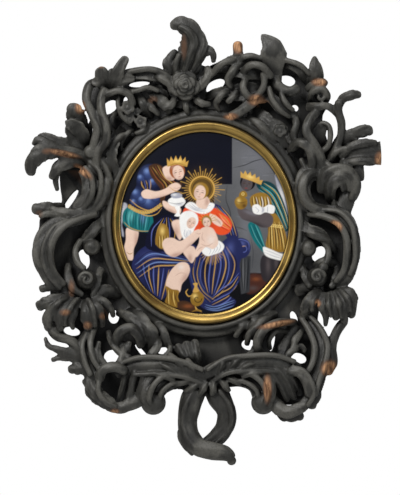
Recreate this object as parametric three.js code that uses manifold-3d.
// Oval painted enamel plaque in a gilt brass bezel and a carved openwork wooden frame.
// Units are millimetres, +Z is up, the front faces -Y and the flat back lies on the plane y = 0.
// The origin is the middle of that flat back, behind the middle of the plaque.
// Places on the carving are given as on the carver's drawing board: millimetres to the right (u) and
// down (v) from the board's top left corner, and the height (d) above the back.

import * as THREE from "three";
import { mergeVertices } from "three/addons/utils/BufferGeometryUtils.js";
import Module from "manifold-3d";

const wasm = await Module();
wasm.setup();

// The plaque's middle on the drawing board.
const middle = { u: 204.5, v: 223 };

// Half axes of the ovals, width then height.
const ringOuter = { a: 105.5, b: 114.5 };
const ringRebate = { a: 92.3, b: 101.3 };
const bezelOuter = { a: 92, b: 101 };
const bezelSight = { a: 84, b: 90.8 };
const plaqueEdge = { a: 88.2, b: 95.4 };

// Heights above the back.
const boardTop = 20;
const ringFoot = 16;
const ringShoulder = 26;
const ringTop = 34;
const bezelSeat = 20.3;
const bezelRim = 31;
const bezelLip = 35;
const bezelCrown = 38;
const plaqueSeat = 25.5;
const plaqueRim = 29.5;
const plaqueCrown = 35.5;

// How finely the ovals and the sawn openings are cut.
const ovalSides = 32;
const holeSides = 6;

// A carved leaf is this thick at its midrib where it is broad.
const leafThickness = 6;

// The petals of a flower reach to these shares of its radius and height, from the back to its heart.
const petalProfile = [[0.9, -2.4], [1, 0], [0.5, 1], [0.28, 0.3]];
const petalNotch = 0.84;

function at(u, v, d) {
  return new THREE.Vector3(u - middle.u, -d, middle.v - v);
}

// A value along a list of evenly spaced numbers, for s from 0 to 1.
function along(list, s) {
  const place = s * (list.length - 1);
  const k = Math.min(Math.floor(place), list.length - 2);
  return THREE.MathUtils.lerp(list[k], list[k + 1], place - k);
}

function solidOf(geometry) {
  const bare = geometry.clone();
  bare.deleteAttribute("normal");
  bare.deleteAttribute("uv");
  const merged = mergeVertices(bare, 1e-4);
  return new wasm.Manifold(new wasm.Mesh({
    numProp: 3,
    vertProperties: Float32Array.from(merged.attributes.position.array),
    triVerts: Uint32Array.from(merged.index.array),
  }));
}

function geometryOf(solid) {
  const mesh = solid.getMesh();
  const geometry = new THREE.BufferGeometry();
  geometry.setAttribute("position", new THREE.BufferAttribute(mesh.vertProperties, 3));
  geometry.setIndex(new THREE.BufferAttribute(mesh.triVerts, 1));
  return geometry;
}

// A closed skin over a row of rings that all have the same number of points.
function skin(rings) {
  const count = rings[0].length;
  const positions = rings.flat().flatMap((p) => [p.x, p.y, p.z]);
  const faces = [];
  for (let i = 0; i < rings.length - 1; i += 1) {
    for (let j = 0; j < count; j += 1) {
      const a = i * count + j;
      const b = i * count + (j + 1) % count;
      faces.push(a, b, a + count, b, b + count, a + count);
    }
  }
  const last = (rings.length - 1) * count;
  for (let j = 1; j < count - 1; j += 1) {
    faces.push(0, j + 1, j);
    faces.push(last, last + j, last + j + 1);
  }
  const geometry = new THREE.BufferGeometry();
  geometry.setAttribute("position", new THREE.Float32BufferAttribute(positions, 3));
  geometry.setIndex(faces);
  return geometry;
}

// Places and directions along a smooth spine. "out" points to the front.
function spine(path, steps) {
  const points = path.map(([u, v, d]) => at(u, v, d));
  const curve = new THREE.CatmullRomCurve3(points, false, "centripetal");
  const stations = [];
  for (let i = 0; i <= steps; i += 1) {
    const s = i / steps;
    const place = curve.getPoint(s);
    const tangent = curve.getTangent(s);
    const side = new THREE.Vector3().crossVectors(tangent, new THREE.Vector3(0, -1, 0)).normalize();
    const out = new THREE.Vector3().crossVectors(side, tangent).normalize();
    stations.push({ s, place, side, out });
  }
  return stations;
}

// A carved leaf: half widths along the spine, a hollow (cup > 0) or crowned (cup < 0) face and a midrib.
function leaf({ path, wide, cup = -0.2, rib = 1.5, steps = 4 }) {
  const rings = spine(path, steps).map(({ s, place, side, out }) => {
    const half = along(wide, s);
    const point = (across, rise) => place.clone().addScaledVector(side, half * across).addScaledVector(out, rise);
    const depth = Math.min(leafThickness, 2 + half / 2);
    return [point(-1, cup * half), point(0, rib), point(1, cup * half), point(0, rib - depth)];
  });
  return solidOf(skin(rings));
}

// A round or flattened stem with radii along its spine.
function stem({ path, radius, flat = 1, steps = 5, sides = 4 }) {
  const rings = spine(path, steps).map(({ s, place, side, out }) => {
    const r = along(radius, s);
    const ring = [];
    for (let k = 0; k < sides; k += 1) {
      const angle = -2 * Math.PI * k / sides;
      ring.push(place.clone()
        .addScaledVector(side, r * Math.cos(angle))
        .addScaledVector(out, r * flat * Math.sin(angle)));
    }
    return ring;
  });
  return solidOf(skin(rings));
}

// A low rounded knob.
function boss({ u, v, d, r, high, sides = 6 }) {
  const geometry = new THREE.SphereGeometry(1, sides, 3);
  geometry.scale(r, high, r);
  geometry.translate(...at(u, v, d).toArray());
  return solidOf(geometry);
}

// An open flower: a scalloped rim of petals around a sunken heart.
function rosette({ u, v, d, r, high, petals }) {
  const rings = petalProfile.map(([wide, rise]) => {
    const ring = [];
    for (let k = 0; k < petals * 2; k += 1) {
      const angle = -Math.PI * k / petals;
      const reach = r * wide * (k % 2 ? petalNotch : 1);
      ring.push(at(u + reach * Math.cos(angle), v + reach * Math.sin(angle), d + high * rise));
    }
    return ring;
  });
  return solidOf(skin(rings));
}

// A ring turned about the middle of the plaque and stretched to an oval.
// The profile lists [half width, half height, height above the back] and closes on itself.
function ovalRing(profile) {
  const rings = [];
  for (let i = 0; i < ovalSides; i += 1) {
    const angle = 2 * Math.PI * i / ovalSides;
    rings.push(profile.map(([a, b, d]) => new THREE.Vector3(a * Math.cos(angle), -d, b * Math.sin(angle))));
  }
  const count = profile.length;
  const faces = [];
  for (let i = 0; i < ovalSides; i += 1) {
    for (let j = 0; j < count; j += 1) {
      const a = i * count + j;
      const b = i * count + (j + 1) % count;
      const c = ((i + 1) % ovalSides) * count + j;
      const e = ((i + 1) % ovalSides) * count + (j + 1) % count;
      faces.push(a, b, c, b, e, c);
    }
  }
  const geometry = new THREE.BufferGeometry();
  geometry.setAttribute("position",
    new THREE.Float32BufferAttribute(rings.flat().flatMap((p) => [p.x, p.y, p.z]), 3));
  geometry.setIndex(faces);
  return geometry;
}

// A disc with an oval outline built from rings that shrink to a point at the front and the back.
function ovalDisc(profile, pole) {
  const positions = [];
  const faces = [];
  profile.forEach(([a, b, d]) => {
    for (let i = 0; i < ovalSides; i += 1) {
      const angle = 2 * Math.PI * i / ovalSides;
      positions.push(a * Math.cos(angle), -d, b * Math.sin(angle));
    }
  });
  for (let j = 0; j < profile.length - 1; j += 1) {
    for (let i = 0; i < ovalSides; i += 1) {
      const a = j * ovalSides + i;
      const b = j * ovalSides + (i + 1) % ovalSides;
      faces.push(a, b, a + ovalSides, b, b + ovalSides, a + ovalSides);
    }
  }
  const backPole = positions.length / 3;
  positions.push(0, -profile[0][2], 0);
  positions.push(0, -pole, 0);
  const last = (profile.length - 1) * ovalSides;
  for (let i = 0; i < ovalSides; i += 1) {
    const next = (i + 1) % ovalSides;
    faces.push(backPole, next, i);
    faces.push(backPole + 1, last + i, last + next);
  }
  const geometry = new THREE.BufferGeometry();
  geometry.setAttribute("position", new THREE.Float32BufferAttribute(positions, 3));
  geometry.setIndex(faces);
  return geometry;
}

// A prism with the given outline between two heights above the back.
function prism(outline, from, to) {
  const geometry = new THREE.ExtrudeGeometry(new THREE.Shape(outline), { depth: to - from, bevelEnabled: false });
  geometry.rotateX(Math.PI / 2);
  geometry.translate(0, -from, 0);
  return solidOf(geometry);
}

// The board that the carving stands on, sawn to an outline a little inside that of the foliage.
function board() {
  const outline = [
    [187, 70], [198, 66], [212, 70], [222, 64], [232, 58], [244, 56], [252, 57], [259, 55], [268, 62], [281, 62],
    [293, 66], [303, 73], [312, 74], [320, 82], [325, 97], [327, 107], [323, 115], [323, 124],
    [329, 145], [332, 153], [342, 152], [352, 160], [357, 174], [354, 186], [348, 199], [347, 212],
    [351, 228], [354, 243], [354, 260], [349, 274], [341, 284], [343, 294], [336, 304], [322, 306],
    [318, 318], [320, 336], [326, 350], [325, 366], [319, 382], [314, 396], [298, 404], [280, 404],
    [266, 396], [258, 381], [240, 376], [225, 388], [205, 396], [187, 386], [172, 378],
    [156, 394], [138, 398], [118, 402], [100, 392], [90, 374], [80, 354], [76, 344], [62, 337], [53, 328],
    [47, 316], [50, 300], [49, 284], [43, 268], [36, 254], [36, 240], [39, 227], [40, 218], [47, 211],
    [61, 204], [60, 186], [60, 172], [70, 152], [80, 134], [90, 120], [88, 98], [96, 85], [112, 82],
    [126, 79], [150, 78], [166, 76], [176, 70],
  ];
  return prism(outline.map(([u, v]) => new THREE.Vector2(u - middle.u, middle.v - v)), 0, boardTop);
}

// The moulded oval ring on the board, with the rebate for the bezel inside it.
function ring() {
  return solidOf(ovalRing([
    [ringRebate.a, ringRebate.b, ringTop - 1],
    [ringRebate.a + 3, ringRebate.b + 3, ringTop],
    [ringOuter.a, ringOuter.b, ringShoulder],
    [ringOuter.a, ringOuter.b, ringFoot],
    [ringRebate.a, ringRebate.b, ringFoot],
  ]));
}

// Upper left: the broken leaf, the broad drooping leaf and the twin wavy stems.
function upperLeftSpray() {
  return [
    stem({ path: [[98, 82, 30], [90, 86, 36], [87, 100, 40], [93, 115, 42], [98, 130, 43], [94, 146, 41],
      [91, 160, 34]], radius: [4.4, 4.4, 4.4, 4], steps: 7 }),
    stem({ path: [[106, 88, 36], [102, 98, 40], [102, 112, 43], [107, 128, 45], [106, 141, 43], [98, 153, 40],
      [98, 166, 34], [103, 180, 24]], radius: [3.6, 4.2, 4.4, 4], steps: 7 }),
    leaf({ path: [[84, 134, 30], [78, 120, 40], [75.5, 112, 45], [78.5, 104, 44]], wide: [8, 11, 10.5, 6] }),
    leaf({ path: [[90, 156, 22], [82, 144, 32], [77, 131, 40], [76, 121, 44]], wide: [8, 11.5, 13.5, 10],
      cup: 0.4 }),
    leaf({ path: [[98, 168, 20], [80, 156, 34], [62, 148, 42], [48, 142, 44], [36.5, 140.5, 41]],
      wide: [9, 11, 11.5, 9.5, 8], cup: -0.15, rib: -1 }),
    leaf({ path: [[68, 152, 40], [53, 151, 48], [41, 154, 51], [33, 164, 49], [32, 178, 42]],
      wide: [7, 10, 10.5, 7.5, 4.5], steps: 5 }),
    leaf({ path: [[124, 128, 20], [115, 142, 34], [112, 158, 36], [118, 176, 28]], wide: [6, 7, 6, 4], cup: 0.5 }),
  ];
}

// Left side: the hollow trough under the drooping leaf and the ridges that swirl back to the ring.
function leftTrough() {
  return [
    stem({ path: [[101, 166, 24], [107, 181, 36], [104, 199, 36], [90, 212, 30]], radius: [5, 5.4], steps: 4 }),
    leaf({ path: [[92, 166, 24], [72, 162, 38], [58, 168, 42], [51, 180, 38]], wide: [6, 8, 7, 3.5], steps: 3 }),
    leaf({ path: [[82, 168, 30], [89, 181, 36], [88, 196, 38], [74, 212, 34]], wide: [6, 8, 8, 7] }),
  ];
}

// Left side: the long fibrous strap around the big scoop, with the small lobes on its outer edge.
function leftScoop() {
  return [
    leaf({ path: [[104, 212, 24], [80, 216, 34], [60, 222, 40], [47, 235, 42], [42.5, 251, 43], [46, 269, 42],
      [56, 284, 38], [76, 297, 30]], wide: [6, 9, 10, 10, 10.5, 9, 8, 6], cup: -0.15, steps: 8 }),
    leaf({ path: [[66, 212, 20], [48, 209, 35], [31.5, 209, 34]], wide: [9, 8, 6.5], steps: 2 }),
    leaf({ path: [[60, 284, 28], [49, 287, 37], [39, 289, 35]], wide: [5, 5.5, 4], steps: 2 }),
    leaf({ path: [[78, 297, 32], [58, 299, 42], [46, 303, 43], [36, 306.5, 38]], wide: [5, 7, 7.5, 5.5],
      steps: 3 }),
    stem({ path: [[100, 218, 24], [95, 232, 30], [84, 241, 26], [72, 250, 17]], radius: [4, 4, 3.5], steps: 3 }),
    boss({ u: 92, v: 247, d: 26, r: 9, high: 13 }),
    boss({ u: 87, v: 280, d: 26, r: 10.5, high: 18, sides: 7 }),
    leaf({ path: [[122, 296, 18], [106, 291, 32], [92, 297, 34]], wide: [8, 8, 6], cup: -0.3, steps: 3 }),
  ];
}

// The fan of hanging acanthus lobes under the left scoop.
function leftFan() {
  const lobes = [
    { path: [[72, 299, 36], [56, 307, 46], [49, 319, 44], [49.5, 332, 36]], wide: [6, 7, 7, 4.5] },
    { path: [[78, 298, 36], [66, 309, 46], [61, 320, 45], [61, 332, 38]], wide: [5, 6.5, 6.5, 4] },
    { path: [[82, 298, 36], [74, 310, 47], [72, 321, 45], [74, 330, 38]], wide: [5, 6, 5, 2] },
    { path: [[86, 298, 36], [86, 310, 48], [88, 321, 47], [88, 331, 40]], wide: [5, 6.5, 7, 4.5] },
    { path: [[90, 298, 36], [98, 307, 45], [101, 317, 43], [103, 328, 34]], wide: [5, 6, 5, 3] },
  ];
  return lobes.map((lobe) => leaf({ ...lobe, cup: -0.35, steps: 3 }));
}

// Lower left: the branch, the ragged tail leaf, the C stem and the open cup at the corner.
function lowerLeftCorner() {
  return [
    stem({ path: [[50, 327, 34], [58, 335.5, 34], [71, 340.5, 34], [80, 351, 34], [87, 368, 34]], radius: [5, 4.6],
      steps: 4 }),
    leaf({ path: [[88, 366, 34], [74, 354, 37], [60, 350, 37], [48.5, 345, 35], [45.5, 336, 33]],
      wide: [7, 8.5, 4.5, 3.2, 2], steps: 5 }),
    leaf({ path: [[73, 357, 34], [62, 357, 36], [51, 360, 34]], wide: [6, 4, 2.5], steps: 2 }),
    leaf({ path: [[94, 368, 36], [80, 368, 38], [67.5, 369, 34]], wide: [9, 7.5, 5], steps: 2 }),
    leaf({ path: [[94, 326, 28], [84, 343, 37], [87, 360, 42], [96, 378, 44]], wide: [6, 7, 7, 7], cup: -0.4,
      steps: 4 }),
    leaf({ path: [[90, 366, 38], [92.5, 384, 44], [102, 397, 47], [116, 405, 45]], wide: [7, 8, 7.5, 6],
      cup: -0.3, steps: 4 }),
    leaf({ path: [[87, 379, 34], [90, 392, 38], [101, 402, 41], [117, 408.5, 42]], wide: [3, 5, 5, 4.5],
      steps: 4 }),
    stem({ path: [[99, 382, 44], [103, 370, 48], [115, 366, 49], [128, 372, 45]], radius: [4.6, 5, 4.6],
      steps: 4 }),
    leaf({ path: [[106, 405, 42], [120, 407, 45], [134, 402, 45], [147, 392, 40]], wide: [5, 6.5, 7.5, 8],
      cup: -0.3 }),
  ];
}

// The rolled scrolls between the ring and the cross band, on the left.
function lowerLeftScrolls() {
  return [
    stem({ path: [[121, 354, 18], [117, 341, 37], [121, 331, 42], [131, 328, 43], [139, 336, 41], [141, 348, 34]],
      radius: [4.6, 5, 5, 4], steps: 5 }),
    leaf({ path: [[124, 312, 18], [141, 321, 40], [152, 333, 45], [153, 352, 34]], wide: [9, 9, 7.5, 5.5] }),
    leaf({ path: [[150, 318, 20], [162, 330, 36], [168, 343, 36], [176, 358, 28]], wide: [6, 5.5, 4.5, 4] }),
  ];
}

// The cross band under the ring, the fan of shells at its middle and the root of the loop.
function crossBand() {
  const shells = [[181, 341], [195, 339], [216, 340], [231, 342]].map(([u, v]) => leaf({
    path: [[204 + (u - 204) * 0.5, 364, 20], [204 + (u - 204) * 0.9, 352, 38], [u, v, 31]],
    wide: [3, 7, 6], cup: -0.5, steps: 2,
  }));
  return [
    ...shells,
    leaf({ path: [[114, 372, 38], [138, 365, 47], [163, 365, 50], [186, 369, 50], [208, 375, 46]],
      wide: [7, 8.5, 8.5, 8.5, 6.5], cup: -0.25 }),
    leaf({ path: [[200, 375, 46], [224, 364, 50], [250, 362, 50], [276, 362, 47], [302, 370, 38]],
      wide: [6.5, 7.5, 8.5, 8.5, 7], cup: -0.25 }),
  ];
}

// The two hooks whose round ends hang on either side of the loop.
function hooks() {
  return [
    leaf({ path: [[168, 370, 42], [152, 378, 48], [146, 391, 50], [148, 405, 46]], wide: [7, 7, 6.5, 6.5],
      cup: -0.4 }),
    leaf({ path: [[190, 382, 32], [174, 382.5, 39], [161, 390, 42], [156, 401, 40]], wide: [8, 7, 6.5, 6.5] }),
    boss({ u: 153.5, v: 402, d: 36, r: 12, high: 14 }),
    leaf({ path: [[250, 368, 42], [264, 375, 48], [270, 388, 50], [267, 403, 46]], wide: [7, 7, 6.5, 6.5],
      cup: -0.4 }),
    leaf({ path: [[222, 380, 32], [240, 379.5, 39], [254, 386, 42], [260, 400, 40]], wide: [8, 7, 7, 6.5] }),
    boss({ u: 263, v: 402, d: 36, r: 11.5, high: 14 }),
  ];
}

// The loop of stem at the bottom, one limb crossing in front of the other and ending in a knob.
function bottomLoop() {
  return [
    stem({ path: [[202, 382, 34], [192.5, 397, 36], [189, 410, 35], [187.5, 422, 34], [189.5, 434, 36], [198.5, 446, 38],
      [212, 450, 40], [225, 452.5, 41], [234, 458, 38]], radius: [9.6, 11, 10.4, 9.6, 9.3, 9.3, 9, 7.6, 4.6],
      flat: 0.75, steps: 9, sides: 6 }),
    stem({ path: [[211, 382, 32], [219.5, 398, 33], [226.5, 412, 32], [225.5, 424, 30], [218, 436, 28],
      [196, 450.5, 25]], radius: [10.4, 11.4, 9.4, 9.4, 8.8, 5.5], flat: 0.7, steps: 6, sides: 6 }),
  ];
}

// Lower right: the outer stem, the wide C stem and the open cup at the corner.
function lowerRightCorner() {
  return [
    stem({ path: [[346, 318, 32], [336, 332, 33], [331, 348, 32], [330, 363, 30], [324, 374, 28]],
      radius: [4.4, 4.4, 5, 7, 6] }),
    leaf({ path: [[302, 314, 22], [314, 328, 31], [321, 344, 37], [318, 362, 41], [313, 380, 43], [309, 397, 45]],
      wide: [8, 8.5, 9.5, 9.5, 8.5, 7], cup: -0.3, steps: 6 }),
    leaf({ path: [[325, 370, 26], [318, 384, 36], [315, 396, 40], [308, 408, 40]], wide: [5, 5.5, 6.5, 6.5],
      steps: 3 }),
    leaf({ path: [[310, 396, 43], [300, 407, 45], [286, 411, 45], [271, 402, 40]], wide: [6, 6.5, 7.5, 8],
      cup: -0.3 }),
    leaf({ path: [[272, 402, 18], [286, 414.5, 32], [304, 416, 32]], wide: [5, 8, 5], steps: 2 }),
    stem({ path: [[286, 370, 44], [298, 372, 47], [306, 382, 48], [309, 397, 44]], radius: [4.6, 4.6, 4.4],
      steps: 4 }),
  ];
}

// The rolled scrolls between the ring and the cross band, on the right.
function lowerRightScrolls() {
  return [
    stem({ path: [[297, 322, 20], [276, 323, 40], [262, 331, 46], [257, 344, 44], [263, 357, 34]],
      radius: [3.6, 4.4, 4.6, 4], steps: 6 }),
    leaf({ path: [[268, 312, 20], [257, 324, 38], [244, 340, 26]], wide: [9, 8.5, 5] }),
    leaf({ path: [[296, 324, 24], [288, 343, 28], [281, 360, 36]], wide: [10, 9, 9], steps: 3 }),
  ];
}

// The fan of hanging acanthus lobes under the right scoop.
function rightFan() {
  const lobes = [
    { path: [[322, 290, 34], [310, 299, 43], [304, 310, 40], [303, 320, 30]], wide: [5, 7, 6, 4] },
    { path: [[325, 291, 36], [322, 304, 45], [325, 315, 42], [325, 327, 36]], wide: [5, 6.5, 4.5, 2] },
    { path: [[330, 290, 36], [333, 305, 47], [336, 321, 40]], wide: [5, 6.5, 3.5] },
    { path: [[334, 289, 36], [342, 305, 47], [344, 325, 38]], wide: [5, 7, 4] },
    { path: [[336, 288, 34], [350, 300, 45], [351, 319, 36]], wide: [6, 7.5, 4] },
  ];
  return lobes.map((lobe) => leaf({ ...lobe, cup: -0.35, steps: 3 }));
}

// Right side: the strap around the big scoop, the knob and the snail boss.
function rightScoop() {
  return [
    leaf({ path: [[302, 212, 24], [324, 212, 34], [341, 217, 40], [350, 231, 42], [353, 248, 42], [351, 266, 41],
      [343, 281, 38], [324, 290, 26]], wide: [6, 8, 9, 8, 7.5, 7, 7, 5], cup: -0.15, steps: 8 }),
    stem({ path: [[300, 226, 24], [314, 235, 34], [326, 240, 32], [335, 252, 17]], radius: [4.4, 4.4, 3.6],
      steps: 4 }),
    boss({ u: 308, v: 248, d: 26, r: 9, high: 14 }),
    boss({ u: 317, v: 277, d: 26, r: 11, high: 18, sides: 7 }),
    stem({ path: [[314, 268, 24], [325, 261, 30], [337, 265, 18]], radius: [4.6, 4.6], steps: 3 }),
    leaf({ path: [[294, 292, 22], [309, 287, 31], [324, 291, 32]], wide: [8, 6, 6], cup: -0.3, steps: 3 }),
  ];
}

// Right side: the ribbed shell and the curl beside it.
function rightShell() {
  return [
    stem({ path: [[321, 194, 26], [324, 175, 36], [338, 169, 40], [350, 174, 40], [355.5, 187, 38],
      [350, 201, 32]], radius: [5, 5.6, 5.6, 5.4, 4.6], steps: 6 }),
    stem({ path: [[330, 202, 18], [330, 185, 39], [339, 179, 42], [346, 190, 32]], radius: [4.6, 5, 4.6],
      steps: 4 }),
    leaf({ path: [[344, 182, 30], [346, 198, 34], [344, 214, 34], [350, 228, 34]], wide: [10, 9, 8, 6],
      steps: 3 }),
    stem({ path: [[321, 172, 30], [308, 175, 39], [302, 187, 42], [305, 201, 40], [317, 210, 36], [330, 211, 32]],
      radius: [4.6, 4.8, 4.6], steps: 5 }),
  ];
}

// Upper right: the tendril, the two ragged leaves, the bud and the S stem.
function upperRightSpray() {
  return [
    stem({ path: [[328, 164, 26], [334, 151, 32], [340, 137, 34], [341, 124, 35], [338, 112, 36], [339, 100, 39]],
      radius: [4.4, 4, 3.8, 4, 4.2], steps: 6 }),
    leaf({ path: [[338, 108, 36], [343, 99, 42], [351, 96, 45], [361.5, 95.5, 41]], wide: [4, 5.2, 5.8, 3.5],
      cup: -0.3 }),
    leaf({ path: [[305, 108, 28], [316, 107, 40], [327, 107, 40], [340, 117, 33]], wide: [5, 5, 4.5, 4],
      steps: 4 }),
    stem({ path: [[318, 110, 34], [309, 121, 40], [306, 132, 42], [314, 146, 41], [321, 161, 36], [315, 174, 28]],
      radius: [4.2, 4.6, 4.6, 4.4], steps: 6 }),
    leaf({ path: [[324, 156, 20], [319, 143, 28], [320, 131, 32], [325, 122, 33]], wide: [5, 8.5, 8.5, 4],
      cup: 0.5 }),
    leaf({ path: [[332, 154, 22], [345, 139, 34], [358, 133, 38], [373, 130.5, 36]], wide: [8, 8, 7, 6.5],
      cup: -0.1, steps: 3 }),
    leaf({ path: [[330, 168, 22], [346, 157, 35], [362, 154.5, 40], [381.5, 153.5, 36]], wide: [9, 11, 12, 13],
      cup: -0.15, rib: -1, steps: 4 }),
    leaf({ path: [[346, 162, 30], [357, 168, 36], [361.5, 182, 33]], wide: [6, 7.5, 3], steps: 2 }),
    stem({ path: [[290, 150, 26], [300, 143, 40], [309, 150, 42], [312, 162, 38], [309, 176, 30]],
      radius: [4.4, 4.6, 4.4], steps: 4 }),
  ];
}

// Top right: the leaf mass, the heart-shaped leaf, the pointed leaf and the broken stubs.
function topRightSpray() {
  return [
    stem({ path: [[237.5, 41.5, 34], [238, 54, 36], [240, 67, 34]], radius: [4.8, 5, 7], steps: 2, sides: 4 }),
    leaf({ path: [[210, 70, 22], [222, 67, 34], [236, 67, 40], [252, 68, 40], [272, 76, 32]],
      wide: [4, 6.5, 12.5, 13, 10], cup: 0.2, rib: -2, steps: 5 }),
    stem({ path: [[242, 74, 38], [251, 66, 48], [262, 68, 49], [272, 79, 40]], radius: [3.6, 3.6], steps: 4 }),
    leaf({ path: [[203, 98, 20], [216, 94, 30], [234, 94, 34], [252, 93, 36], [270, 98, 30]],
      wide: [4, 6, 9, 11, 9], cup: 0.25 }),
    leaf({ path: [[268, 93, 34], [254, 101, 40], [241, 111, 39], [229, 118, 34]], wide: [7, 6.5, 5.5, 5],
      cup: -0.3, steps: 3 }),
    leaf({ path: [[277, 88, 26], [274.5, 72, 38], [273, 57, 44], [270.5, 46, 44], [260.5, 34.5, 38]],
      wide: [5, 9, 14, 11.5, 1.5], cup: -0.15, rib: -1.5, steps: 5 }),
    leaf({ path: [[276, 62, 26], [290, 65, 36], [301, 71.5, 37], [311, 84, 22]], wide: [6, 5.5, 6, 8],
      cup: -0.1, steps: 3 }),
    stem({ path: [[274, 76, 30], [278, 86, 34], [288, 92, 34], [300, 88, 32]], radius: [4.8, 5, 5], steps: 3 }),
    leaf({ path: [[315, 92, 22], [315.5, 76, 37], [314.6, 65, 38], [314.2, 56, 34]], wide: [9.5, 8.5, 6.4, 1.5],
      cup: -0.1, steps: 3 }),
    stem({ path: [[311, 103, 18], [312, 93, 36], [321, 89, 39], [327, 96, 36], [323, 105, 20]], radius: [3, 3.4],
      steps: 5 }),
    leaf({ path: [[264, 88, 32], [274, 101, 38], [284, 111, 36], [297, 117, 26]], wide: [6, 7, 7, 5], steps: 3 }),
    leaf({ path: [[250, 106, 20], [266, 119, 30], [280, 132, 32], [292, 148, 26]], wide: [7, 7, 9, 7], cup: 0,
      steps: 3 }),
    boss({ u: 283, v: 131, d: 28, r: 6.5, high: 12 }),
  ];
}

// Top left: the five-lobed leaf, the worn branch, its arch of thin stems and the small blossoms.
function topLeftSpray() {
  const lobes = [
    { path: [[108, 93, 28], [103, 80, 43], [101.5, 67.5, 45]], wide: [5, 8, 6] },
    { path: [[107, 91, 30], [99, 84, 43], [92, 80.5, 42]], wide: [5, 5.5, 3.5] },
    { path: [[110, 93, 30], [117, 75, 45], [127.5, 57, 44]], wide: [6, 8, 4] },
    { path: [[108, 90, 32], [122, 81, 42], [136, 79, 38]], wide: [6, 7.5, 3] },
    { path: [[109, 90, 32], [111, 79, 42], [114, 69, 42]], wide: [4, 5.5, 4] },
  ];
  const blossoms = [[129, 109, 7], [132, 120, 5], [141, 122, 6.5]];
  return [
    ...lobes.map((lobe) => leaf({ ...lobe, rib: -1, steps: 3 })),
    ...blossoms.map(([u, v, r]) => boss({ u, v, d: 24, r, high: 15 })),
    leaf({ path: [[122, 76, 26], [138, 75, 34], [152, 75, 36], [168, 79, 30]], wide: [5, 6, 6.5, 6.5], cup: 0.4 }),
    stem({ path: [[101, 98, 34], [109, 94, 38], [120, 91.5, 40], [129, 95, 38], [134, 107, 32]],
      radius: [3.4, 3.6], steps: 5, sides: 4 }),
    leaf({ path: [[148, 84, 18], [156, 92, 28], [166, 102, 26]], wide: [5, 9, 10], cup: 0.5, steps: 3 }),
    leaf({ path: [[154, 92, 26], [163, 103, 37], [171, 114, 30]], wide: [5, 7, 4], steps: 2 }),
    leaf({ path: [[136, 90, 18], [143, 104, 34], [153, 119, 20]], wide: [4, 5, 4], steps: 2 }),
  ];
}

// The tall plume with its side lobes, and the rose below it.
function plumeAndRose() {
  return [
    rosette({ u: 185, v: 87, d: 41, r: 16, high: 7, petals: 5 }),
    leaf({ path: [[181, 90, 24], [186, 70, 38], [192, 54, 44], [194, 42, 47], [190, 31.5, 49], [181, 26, 48],
      [169.5, 26.5, 44]], wide: [9, 13, 15.5, 14, 11, 9.5, 4.5], steps: 7 }),
    leaf({ path: [[176, 86, 20], [171, 73, 34], [169.5, 62, 37], [177, 50, 34]], wide: [9, 10, 7, 3], steps: 3 }),
    leaf({ path: [[196, 52, 36], [205, 51, 42], [212, 54, 44], [213.5, 64.5, 38]], wide: [6, 7, 5, 2],
      cup: -0.3, steps: 4 }),
    leaf({ path: [[186, 82, 24], [197, 75, 32], [207, 69, 32]], wide: [5, 9, 8], cup: 0.2, steps: 2 }),
    leaf({ path: [[208, 66, 22], [204.5, 80, 28], [200, 98, 22]], wide: [5, 5, 6], cup: 0, steps: 2 }),
    leaf({ path: [[166, 96, 20], [186, 103, 29], [204, 98, 20]], wide: [8, 7, 8], cup: 0, steps: 2 }),
  ];
}

const carving = [
  ring(),
  ...upperLeftSpray(),
  ...topLeftSpray(),
  ...plumeAndRose(),
  ...topRightSpray(),
  ...upperRightSpray(),
  ...rightShell(),
  ...rightScoop(),
  ...rightFan(),
  ...lowerRightScrolls(),
  ...lowerRightCorner(),
  ...hooks(),
  ...crossBand(),
  ...bottomLoop(),
  ...lowerLeftScrolls(),
  ...lowerLeftCorner(),
  ...leftFan(),
  ...leftScoop(),
  ...leftTrough(),
];

// The places where the wall shows through the board: middle, half length, half width and slope
// in degrees, rising to the right.
const openings = [
  { u: 95, v: 136, a: 14, b: 2.4, slope: 97 },
  { u: 109.5, v: 107, a: 9, b: 6, slope: 40 },
  { u: 126, v: 100.5, a: 4.4, b: 2.8, slope: 90 },
  { u: 139.5, v: 84, a: 11, b: 3, slope: 5 },
  { u: 215, v: 85.5, a: 11, b: 5.5, slope: 30 },
  { u: 286, v: 81, a: 9.5, b: 6, slope: 0 },
  { u: 295, v: 108, a: 3.8, b: 3.6, slope: 0 },
  { u: 319, v: 254, a: 8.5, b: 6, slope: 55 },
  { u: 83.5, v: 259.5, a: 10, b: 6, slope: 100 },
  { u: 70, v: 201, a: 14, b: 3, slope: 55 },
  { u: 113.5, v: 317, a: 7, b: 5.5, slope: 90 },
  { u: 71.5, v: 331.5, a: 8.5, b: 4.5, slope: 170 },
  { u: 142, v: 353, a: 11, b: 2.2, slope: 130 },
  { u: 163, v: 351, a: 6, b: 3.5, slope: 10 },
  { u: 249, v: 345, a: 7.5, b: 5.5, slope: 170 },
  { u: 272.5, v: 342, a: 10, b: 2.2, slope: 80 },
  { u: 294, v: 318, a: 7, b: 3.4, slope: 110 },
  { u: 112, v: 357, a: 8.5, b: 7, slope: 10 },
  { u: 299, v: 358.5, a: 8, b: 5, slope: 160 },
];

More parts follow.
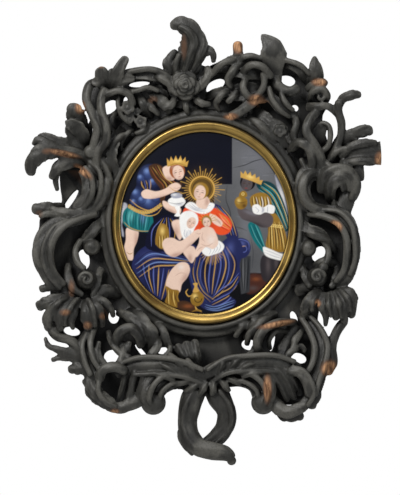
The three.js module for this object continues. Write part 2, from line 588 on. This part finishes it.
// A cutter with an oval outline that runs through the board.
function opening({ u, v, a, b, slope }) {
  const tilt = THREE.MathUtils.degToRad(slope);
  const oval = new THREE.EllipseCurve(u - middle.u, middle.v - v, a, b, 0, 2 * Math.PI, false, tilt);
  return prism(oval.getPoints(holeSides).slice(0, -1), -1, boardTop + 1);
}

const piercedBoard = openings.reduce((whole, hole) => whole.subtract(opening(hole)), board());
const frameSolid = carving.reduce((whole, piece) => whole.add(piece), piercedBoard);

const wood = new THREE.MeshStandardMaterial({ color: 0x3a3a36, roughness: 0.55, metalness: 0 });
const brass = new THREE.MeshStandardMaterial({ color: 0xb8963f, roughness: 0.35, metalness: 1 });
const enamel = new THREE.MeshStandardMaterial({ color: 0x2c3a5c, roughness: 0.15, metalness: 0 });

function node(name, geometry, material) {
  const mesh = new THREE.Mesh(geometry, material);
  mesh.name = name;
  return mesh;
}

// The bezel clasps the plaque: a rolled front lip over its edge and a foot around it.
function bezelGeometry() {
  const clearance = 0.4;
  return ovalRing([
    [bezelSight.a, bezelSight.b, bezelRim],
    [bezelSight.a + 4.5, bezelSight.b + 5.5, bezelCrown],
    [bezelOuter.a, bezelOuter.b, bezelLip],
    [bezelOuter.a, bezelOuter.b, bezelSeat],
    [plaqueEdge.a + clearance, plaqueEdge.b + clearance, bezelSeat],
    [plaqueEdge.a + clearance, plaqueEdge.b + clearance, bezelRim],
  ]);
}

// The plaque is slightly domed to the front and flat behind.
function plaqueGeometry() {
  const dome = [[1, 0], [0.92, 0.2], [0.5, 0.8]];
  return ovalDisc([
    [plaqueEdge.a, plaqueEdge.b, plaqueSeat],
    ...dome.map(([reach, rise]) => [
      plaqueEdge.a * reach,
      plaqueEdge.b * reach,
      THREE.MathUtils.lerp(plaqueRim, plaqueCrown, rise),
    ]),
  ], plaqueCrown);
}

const plaqueInFrame = new THREE.Group();
plaqueInFrame.add(node("carved_frame", geometryOf(frameSolid), wood));
plaqueInFrame.add(node("brass_bezel", bezelGeometry(), brass));
plaqueInFrame.add(node("enamel_plaque", plaqueGeometry(), enamel));

export default plaqueInFrame;
